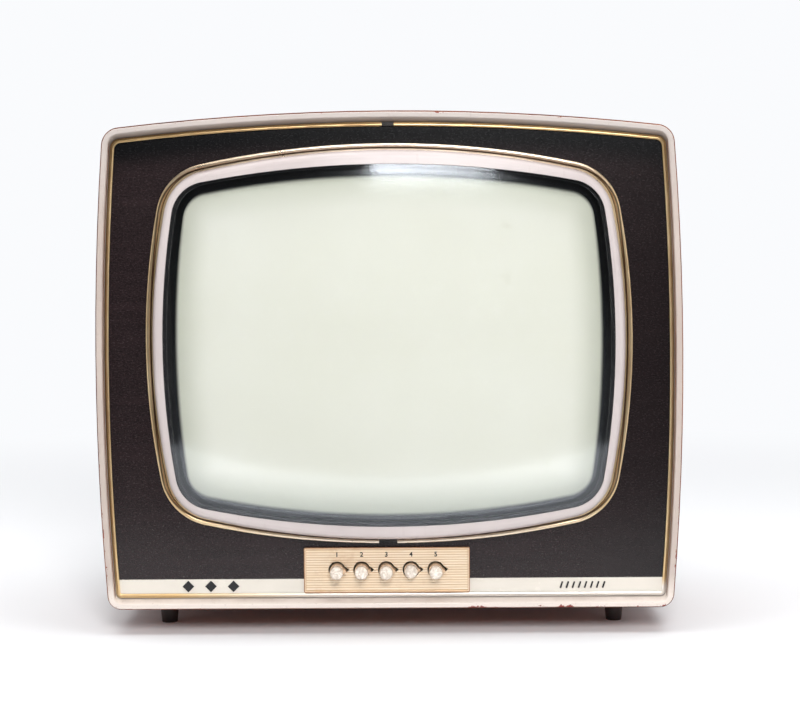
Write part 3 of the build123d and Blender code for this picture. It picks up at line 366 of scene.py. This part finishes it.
def escutcheon_metal():
    """Champagne anodising brushed along the ribs, brown at its edges, with painted shade in the
    grooves and holes.
    """
    s = Shader("escutcheon_champagne")
    x, y, z = s.split()
    low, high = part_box("button_escutcheon")
    brush = s.noise(1.0, 3.0, 0.6, s.scaled((40.0, 40.0, 2600.0)))
    stain = s.noise(34.0, 4.0, 0.7)
    smear = s.noise(1.0, 3.0, 0.6, s.scaled((28.0, 1.0, 90.0)))
    # painted shade in the grooves between the ribs
    between_ribs = s.ramp(y, low.y + 0.0009, low.y + 0.0012, 0.0, 0.75)
    tone = s.mix(s.ramp(brush, 0.3, 0.7), rgb(238, 214, 182), rgb(255, 242, 222))
    tone = s.mix(between_ribs, tone, rgb(204, 168, 124))
    tone = s.mix(s.ramp(stain, 0.58, 0.74, 0.0, 0.4), tone, rgb(200, 156, 112))
    tone = s.mix(s.ramp(smear, 0.64, 0.74, 0.0, 0.5), tone, rgb(150, 128, 106))
    from_sides = s.math("MINIMUM", s.minus(x, low.x), s.minus(high.x, x))
    from_ends = s.math("MINIMUM", s.minus(z, low.z), s.minus(high.z, z))
    edge = s.math("MINIMUM", from_sides, from_ends)
    tone = s.mix(s.ramp(edge, 0.0005, 0.0011, 0.9, 0.0), tone, rgb(170, 112, 62))
    # painted shade: the walls inside the button holes are near black
    inside_holes = s.ramp(y, low.y + 0.00125, low.y + 0.0014)
    tone = s.mix(inside_holes, tone, rgb(9, 8, 8))
    return s.finish(
        Base_Color=tone, Metallic=0.5, Roughness=s.ramp(brush, 0.3, 0.7, 0.34, 0.48),
        Normal=s.bump(brush, 0.2, 0.0002),
    )


def pearl():
    """Milky swirled plastic of the button caps."""
    s = Shader("button_pearl")
    swirl = s.noise(150.0, 5.0, 0.6, None, 2.5)
    tone = s.mix(s.ramp(swirl, 0.35, 0.65), rgb(198, 182, 166), rgb(243, 233, 222))
    return s.finish(
        Base_Color=tone, Roughness=s.ramp(swirl, 0.3, 0.7, 0.16, 0.3), IOR=1.5, Coat_Weight=0.4,
        Coat_Roughness=0.1, Normal=s.bump(swirl, 0.05, 0.0002),
    )


def knob_plastic():
    """Ivory moulding with a spun gold disc let into its face and a dark pointer rib."""
    s = Shader("knob_ivory")
    disc_radius, disc_depth, rib_depth = 0.0078, 0.0014, 0.0009
    skirt_range = (0.0094, 0.0102)
    x, y, z = s.split()
    low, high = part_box("brightness_knob")
    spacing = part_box("volume_knob")[1].z - high.z
    middle = (low.z + high.z) / 2
    up = s.math("WRAP", s.minus(z, middle), spacing / 2, -spacing / 2)
    radius = s.length(0.0, s.minus(y, (low.y + high.y) / 2), up)
    face = s.math("GREATER_THAN", x, high.x - disc_depth)
    disc = s.times(face, s.math("LESS_THAN", radius, disc_radius))
    rib = s.math("GREATER_THAN", x, high.x - rib_depth)
    clouds = s.noise(60.0, 4.0, 0.6)
    spun = s.noise(2600.0, 2.0, 0.5, s.join(radius, 0.0, 0.0))
    skirt_grime = s.times(s.ramp(radius, *skirt_range), s.ramp(clouds, 0.4, 0.65, 0.1, 0.5))
    spun_gold = s.mix(s.ramp(spun, 0.3, 0.7), rgb(206, 164, 104), rgb(240, 206, 150))
    tone = s.mix(s.ramp(clouds, 0.3, 0.7), rgb(218, 207, 188), rgb(234, 224, 206))
    tone = s.mix(skirt_grime, tone, rgb(150, 128, 100))
    tone = s.mix(disc, tone, spun_gold)
    tone = s.mix(rib, tone, rgb(34, 24, 20))
    return s.finish(
        Base_Color=tone, Metallic=s.times(disc, s.minus(1.0, rib)),
        Roughness=s.ramp(clouds, 0.3, 0.7, 0.24, 0.34), Normal=s.bump(spun, 0.1, 0.0001),
    )


# ---- glass and screen ---------------------------------------------------------------------------
def pane(name, tint, reflectance, smear):
    """Thin glass: clear straight through, with a reflection that grows at grazing angles.

    It is stronger than real glass's, and only faces turned to the viewer have it.
    """
    s = Shader(name)
    fresnel = s.node("Fresnel", {"IOR": 1.5}).outputs[0]
    facing = s.minus(1.0, s.node("NewGeometry").outputs["Backfacing"])
    factor = s.math("MINIMUM", s.times(s.times(fresnel, reflectance), facing), 1.0)
    haze = s.noise(12.0, 4.0, 0.6)
    clear = s.node("BsdfTransparent", {"Color": tint})
    shine = s.node("BsdfGlossy", {
        "Color": (0.88, 0.93, 1.0, 1), "Roughness": s.ramp(haze, 0.3, 0.7, smear * 0.8, smear),
    })
    return s.surface(s.node("MixShader", {0: factor, 1: clear, 2: shine}))


def phosphor():
    """Greenish white powder coat with a soft dark border and faint stains.

    Its darker foot and sides follow the photograph's light.
    """
    s = Shader("phosphor_powder")
    z = s.split()[2]
    low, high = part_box("phosphor_screen")
    middle = (low.z + high.z) / 2
    depth = s.edge_depth((high.x, high.z - middle, *PICTURE_RADII), middle)
    clouds = s.noise(5.0, 4.0, 0.6)
    stain = s.noise(26.0, 3.0, 0.6)
    foot = s.ramp(z, SCREEN_Z - 0.115, SCREEN_Z - 0.158, 0.0, 0.5)
    border = s.smooth(depth, 0.0002, 0.0045, 1.0, 0.0)
    tone = s.mix(s.ramp(clouds, 0.3, 0.7), rgb(246, 246, 235), rgb(252, 252, 244))
    tone = s.mix(s.ramp(stain, 0.70, 0.80, 0.0, 0.3), tone, rgb(206, 204, 180))
    tone = s.mix(s.ramp(depth, 0.0035, 0.03, 0.35, 0.0), tone, rgb(190, 197, 172))
    tone = s.mix(foot, tone, rgb(178, 184, 168))
    tone = s.mix(border, tone, rgb(26, 27, 30))
    return s.finish(
        Base_Color=tone, Roughness=0.9, Specular_IOR_Level=0.1,
        Normal=s.bump(s.noise(1800.0, 2.0), 0.1, 0.0001),
    )


# ---- inside and back ----------------------------------------------------------------------------
def copper(name, pitch):
    """Enamelled winding: fine turns round the tube's axis."""
    s = Shader(name)
    turns = s.math("SINE", s.times(s.split()[1], 2 * math.pi / pitch))
    uneven = s.noise(90.0, 3.0, 0.6)
    tone = s.mix(s.ramp(turns, -1.0, 1.0), rgb(96, 36, 16), rgb(196, 98, 48))
    tone = s.mix(s.ramp(uneven, 0.4, 0.7, 0.0, 0.4), tone, rgb(120, 52, 24))
    return s.finish(
        Base_Color=tone, Metallic=0.6, Roughness=s.ramp(uneven, 0.3, 0.7, 0.3, 0.45),
        Normal=s.bump(turns, 0.6, 0.0003),
    )


def board():
    """Brown phenolic board with a pale maze of tracks."""
    s = Shader("phenolic_board")
    cells = s.node("TexVoronoi", {"Vector": s.place, "Scale": 85.0}, feature="DISTANCE_TO_EDGE")
    grain = s.noise(300.0, 3.0, 0.6)
    tone = s.mix(s.ramp(grain, 0.3, 0.7), rgb(118, 74, 34), rgb(158, 106, 54))
    tone = s.mix(s.ramp(cells.outputs[0], 0.16, 0.22, 0.0, 0.5), tone, rgb(176, 140, 92))
    return s.finish(Base_Color=tone, Roughness=0.5, Normal=s.bump(grain, 0.2, 0.0002))


def fibre_cover():
    """Brown pressed-fibre board of the rear cover, with a fine net pressed into it."""
    s = Shader("cover_fibreboard")
    x, _, z = s.split()
    net_turns = 3600.0
    pulp = s.noise(240.0, 5.0, 0.7)
    cloud = s.noise(7.0, 4.0, 0.6)
    net = s.times(*(s.math("SINE", s.times(place, net_turns)) for place in (x, z)))
    tone = s.mix(s.ramp(pulp, 0.3, 0.7), rgb(62, 40, 27), rgb(104, 70, 46))
    tone = s.mix(s.ramp(cloud, 0.35, 0.7, 0.0, 0.35), tone, rgb(78, 50, 33))
    height = s.math("ADD", pulp, s.times(net, 0.25))
    return s.finish(
        Base_Color=tone, Roughness=s.ramp(pulp, 0.3, 0.7, 0.55, 0.75), Specular_IOR_Level=0.35,
        Normal=s.bump(height, 0.4, 0.0004),
    )


def steel(name, color, rough):
    """Plated sheet steel with a soft spangle."""
    s = Shader(name)
    spangle = s.node("TexVoronoi", {"Vector": s.place, "Scale": 130.0}).outputs["Color"]
    value = s.split(spangle)[0]
    streak = s.noise(1.0, 3.0, 0.6, s.scaled((30.0, 30.0, 900.0)))
    return s.finish(
        Base_Color=s.mix(s.ramp(value, 0.0, 1.0, 0.2, 0.9), darker(color, 0.75), color),
        Metallic=1.0, Roughness=s.ramp(value, 0.0, 1.0, rough, rough + 0.12),
        Normal=s.bump(streak, 0.1, 0.0001),
    )


MATERIALS = (
    # front and cabinet
    (("cabinet_shell",), teak()),
    (("front_rim",), rim_plastic()),
    (("front_panel",), panel_cloth()),
    (("outer_trim",), gold(
        "outer_trim_gold", rgb(254, 230, 182), rgb(234, 199, 146), 0.28,
        top_tone=rgb(206, 172, 120), top_share=0.6,
        foot_range=(0.050, 0.043), foot_share=0.85, groove_share=0.0)),
    (("screen_trim",), gold(
        "screen_trim_gold", rgb(253, 230, 188), rgb(228, 194, 146), 0.26,
        top_tone=rgb(255, 243, 230), top_share=0.6,
        foot_range=(0.118, 0.086), foot_share=0.5, groove_share=0.8)),
    (("trim_clips",), plain("clip_lacquer", rgb(26, 17, 14), 0.35)),
    (("screen_mask",), mask_plastic()),
    (("name_strip",), plain(
        "strip_enamel", rgb(226, 219, 208), 0.24, mottle=0.05, scale=30.0, bump=0.05)),
    (("strip_emblems",), plain("emblem_enamel", rgb(18, 16, 18), 0.25, bump=0.05)),
    (("button_escutcheon",), escutcheon_metal()),
    ([f"button_collar_{n}" for n in BUTTONS], plain(
        "collar_moulding", rgb(216, 184, 152), 0.38, scale=120.0)),
    ([f"button_cap_{n}" for n in BUTTONS], pearl()),
    (("feet",), plain("foot_lacquer", rgb(44, 28, 24), 0.35, mottle=0.2)),
    # picture tube
    (("safety_glass",), pane("safety_glass_pane", (0.996, 0.997, 0.994, 1), 2.2, 0.09)),
    (("tube_faceplate",), pane("tube_glass", (0.99, 0.99, 0.984, 1), 2.2, 0.14)),
    (("phosphor_screen",), phosphor()),
    (("dust_seal",), plain("seal_rubber", rgb(16, 16, 19), 0.8, scale=90.0)),
    (("tube_funnel",), plain("funnel_graphite", rgb(26, 26, 28), 0.6, scale=70.0, bump=0.4)),
    (("tube_neck",), pane("neck_glass", (0.9, 0.93, 0.91, 1), 2.0, 0.05)),
    (("gun_grids", "cathode"), steel("gun_nickel", (0.62, 0.61, 0.58, 1), 0.25)),
    (("gun_support_rods",), plain("sintered_glass", rgb(216, 214, 206), 0.35)),
    (("tube_base",), plain("base_bakelite", rgb(40, 28, 22), 0.3)),
    (("tube_socket", "aerial_panel"), plain(
        "phenolic_brown", rgb(142, 92, 48), 0.34, mottle=0.3, scale=160.0)),
    (("anode_cap",), plain("cap_rubber", rgb(112, 44, 34), 0.75)),
    (("eht_lead",), plain("lead_rubber", rgb(126, 30, 26), 0.6)),
    (("tube_strap", "tube_mounts", "rear_cover_screws"), steel(
        "zinc_plate", (0.55, 0.55, 0.54, 1), 0.32)),
    (("yoke_core",), plain("ferrite", rgb(38, 38, 42), 0.5, scale=220.0, bump=0.4)),
    (("line_coils",), copper("line_coil_copper", 0.0006)),
    (("frame_coils",), copper("frame_coil_copper", 0.0005)),
    (("yoke_clamp",), plain("clamp_moulding", rgb(206, 200, 182), 0.45)),
    (("centring_magnet_front", "centring_magnet_rear"), steel(
        "magnet_steel", (0.2, 0.2, 0.22, 1), 0.4)),
    # chassis, controls and back
    (("chassis_frame", "tuner_unit", "button_unit"), steel(
        "passivated_steel", (0.62, 0.58, 0.46, 1), 0.35)),
    (("timebase_board", "signal_board"), board()),
    (("valves",), plain(
        "valve_glass", rgb(120, 126, 128), 0.12, mottle=0.5, scale=40.0, Coat_Weight=0.6)),
    (("electrolytic_cans",), steel("can_aluminium", (0.78, 0.78, 0.8, 1), 0.28)),
    (("line_output_transformer",), plain(
        "waxed_winding", rgb(84, 60, 40), 0.45, mottle=0.3, scale=90.0)),
    (("loudspeaker_frame",), plain("speaker_hammer", rgb(90, 94, 92), 0.35, scale=180.0, bump=0.5)),
    (("loudspeaker_cone",), plain("speaker_paper", rgb(34, 31, 28), 0.9, scale=200.0, bump=0.6)),
    (("control_tray",), plain("tray_moulding", rgb(34, 27, 25), 0.4, scale=200.0, bump=0.3)),
    (("volume_knob", "brightness_knob", "contrast_knob"), knob_plastic()),
    (("rear_cover",), fibre_cover()),
    (("mains_inlet",), plain("inlet_bakelite", rgb(20, 18, 18), 0.3)),
)
for names, material in MATERIALS:
    for name in names:
        slots = NODES[name].data.materials
        slots.clear()
        slots.append(material)


def add_object(name, data):
    made = bpy.data.objects.new(name, data)
    bpy.context.scene.collection.objects.link(made)
    return made


# ---- numerals over the buttons ------------------------------------------------------------------
NUMERAL_HEIGHT = 0.0042
HEIGHT_PER_SIZE = 0.69  # a numeral's height in the built-in font at text size 1
NUMERAL_DROP = 0.0066  # from the plate's top edge to the numeral's middle
BEHIND_BORDER = 0.0001  # from the border's front, which leaves the ribs 0.34 mm further back
HALF_THICKNESS = 0.00006
BOLDER = 0.00013  # outline offset
INK = plain("numeral_ink", rgb(14, 12, 12), 0.6, bump=0.05)
plate_low, plate_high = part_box("button_escutcheon")
for number in BUTTONS:
    cap_low, cap_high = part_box(f"button_cap_{number}")
    text = bpy.data.curves.new(f"numeral_{number}", "FONT")
    text.body = str(number)
    text.size = NUMERAL_HEIGHT / HEIGHT_PER_SIZE
    text.extrude = HALF_THICKNESS
    text.offset = BOLDER
    text.align_x = "CENTER"
    text.align_y = "CENTER"
    text.materials.append(INK)
    numeral = add_object(f"numeral_{number}", text)
    numeral.matrix_world = (
        Matrix.Translation((
            (cap_low.x + cap_high.x) / 2,
            plate_low.y + BEHIND_BORDER,
            plate_high.z - NUMERAL_DROP,
        ))
        @ Matrix.Rotation(math.radians(90), 4, "X")
    )
    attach(numeral, "cabinet")


# ---- floor and backdrop -------------------------------------------------------------------------
BACKDROP = (0.955, 0.965, 0.985, 1)


def stage_sheet(name, rows, material, smooth=False):
    """Sheet woven from rows of points."""
    points = [point for row in rows for point in row]
    wide = len(rows[0])
    faces = [
        (r * wide + c, r * wide + c + 1, (r + 1) * wide + c + 1, (r + 1) * wide + c)
        for r in range(len(rows) - 1) for c in range(wide - 1)
    ]
    mesh = bpy.data.meshes.new(name)
    mesh.from_pydata(points, [], faces)
    mesh.polygons.foreach_set("use_smooth", [smooth] * len(faces))
    sheet = add_object(name, mesh)
    mesh.materials.append(material)
    return sheet


def sweep_paper():
    """White studio paper that fades to the backdrop's even white away from the set."""
    s = Shader("sweep_paper")
    x, y, z = s.split()
    reach = s.length(x, s.times(y, 1.3), z)
    paper = s.node("BsdfDiffuse", {"Color": (0.80, 0.806, 0.82, 1)})
    wash = s.node("Emission", {"Color": BACKDROP})
    fade = s.smooth(reach, 0.55, 1.9)
    return s.surface(s.node("MixShader", {0: fade, 1: paper, 2: wash}))


FLOOR_HALF_WIDTH = 5.0
SWEEP_NEAR, SWEEP_FRONT, CURVE_START, CURVE_RADIUS, WALL_TOP = -5.0, -1.0, 1.4, 1.2, 4.0
CURVE_STEPS = 16
profile = [(y, 0.0) for y in (SWEEP_NEAR, SWEEP_FRONT, CURVE_START)]
for step in range(1, CURVE_STEPS + 1):
    turn = math.radians(90) * step / CURVE_STEPS
    profile.append((
        CURVE_START + CURVE_RADIUS * math.sin(turn), CURVE_RADIUS * (1 - math.cos(turn)),
    ))
profile.append((CURVE_START + CURVE_RADIUS, WALL_TOP))
stage_sheet(
    "floor_sweep",
    [[(-FLOOR_HALF_WIDTH, y, z), (FLOOR_HALF_WIDTH, y, z)] for y, z in profile],
    sweep_paper(), smooth=True,
)

# dark cloth on the floor in front, seen only in reflections in the glass and metal
CLOTH_NEAR, CLOTH_FAR = -0.582, -5.0
CLOTH_BOW, CLOTH_LEAST_DEPTH = 0.70, 0.5
CLOTH_HEIGHT, CLOTH_STEP, CLOTH_POINTS = 0.001, 0.1, 101
cloth_x = [-FLOOR_HALF_WIDTH + CLOTH_STEP * step for step in range(CLOTH_POINTS)]
cloth = stage_sheet(
    "floor_cloth",
    [
        [(x, max(CLOTH_NEAR - CLOTH_BOW * x * x, CLOTH_FAR + CLOTH_LEAST_DEPTH), CLOTH_HEIGHT)
         for x in cloth_x],
        [(x, CLOTH_FAR, CLOTH_HEIGHT) for x in cloth_x],
    ],
    plain("cloth_wool", (0.03, 0.03, 0.032, 1), 0.9, scale=20.0),
)
cloth.visible_camera = False
cloth.visible_diffuse = False
cloth.visible_shadow = False


# ---- light and camera ---------------------------------------------------------------------------
def softbox(name, place, target, size, power, panes=None):
    """Area light; panes INCLUDE lights only the two glass panes, and EXCLUDE all but them."""
    light = bpy.data.lights.new(name, "AREA")
    light.shape = "RECTANGLE"
    light.size, light.size_y = size
    light.energy = power
    made = add_object(name, light)
    made.location = place
    made.rotation_euler = (Vector(target) - Vector(place)).to_track_quat("-Z", "Y").to_euler()
    if panes:
        listed = bpy.data.collections.new(f"{name}_panes")
        for node in ("safety_glass", "tube_faceplate"):
            listed.objects.link(NODES[node])
        made.light_linking.receiver_collection = listed
        for member in listed.collection_objects:
            member.light_linking.link_state = panes


MIDDLE = (0, 0, SCREEN_Z)
FRONT_LIGHT = ((0.22, -2.39, 1.56), (0, -0.15, 0.3), (0.74, 1.0))  # place, target and size
softbox("overhead_softbox", (0.0, -0.35, 2.1), (0, -0.15, 0.2), (2.4, 1.2), 34)
softbox("front_softbox", *FRONT_LIGHT, 47, panes="EXCLUDE")
softbox("front_scrim", *FRONT_LIGHT, 36, panes="INCLUDE")  # a weaker highlight in the glass
softbox("left_softbox", (-2.2, -1.5, 1.0), MIDDLE, (1.0, 1.6), 7)
softbox("right_softbox", (2.2, -1.5, 1.0), MIDDLE, (1.0, 1.6), 11)


def studio_world():
    """White behind the set for the camera; for light and reflections, a room dark in front."""
    world = bpy.data.worlds.new("studio")
    world.use_nodes = True
    tree = world.node_tree
    tree.nodes.clear()
    output, seen, room, direction, parts, ramp, path, blend = (
        tree.nodes.new("ShaderNode" + kind) for kind in (
            "OutputWorld", "Background", "Background", "TexCoord", "SeparateXYZ", "MapRange",
            "LightPath", "MixShader",
        )
    )
    seen.inputs["Color"].default_value = BACKDROP
    for key, value in (("From Min", -0.35), ("From Max", 0.1), ("To Min", 0.05), ("To Max", 1.0)):
        ramp.inputs[key].default_value = value
    for start, end in (
        (direction.outputs["Generated"], parts.inputs[0]),
        (parts.outputs["Y"], ramp.inputs["Value"]),
        (ramp.outputs[0], room.inputs["Strength"]),
        (path.outputs["Is Camera Ray"], blend.inputs[0]),
        (room.outputs[0], blend.inputs[1]),
        (seen.outputs[0], blend.inputs[2]),
        (blend.outputs[0], output.inputs["Surface"]),
    ):
        tree.links.new(start, end)
    return world


bpy.context.scene.world = studio_world()
bpy.context.scene.view_settings.view_transform = "Standard"

PITCH, YAW, ROLL = math.radians(4.69), math.radians(0.29), math.radians(-0.36)
camera_data = bpy.data.cameras.new("camera")
camera_data.lens = 78.5
camera_data.sensor_width = 36.0
camera = add_object("camera", camera_data)
camera.location = (0.018, -1.7358, 0.3853)
camera.rotation_mode = "QUATERNION"
camera.rotation_quaternion = (
    Matrix.Rotation(YAW, 3, "Z")
    @ Matrix.Rotation(math.radians(90) - PITCH, 3, "X")
    @ Matrix.Rotation(ROLL, 3, "Z")
).to_quaternion()
bpy.context.scene.camera = camera
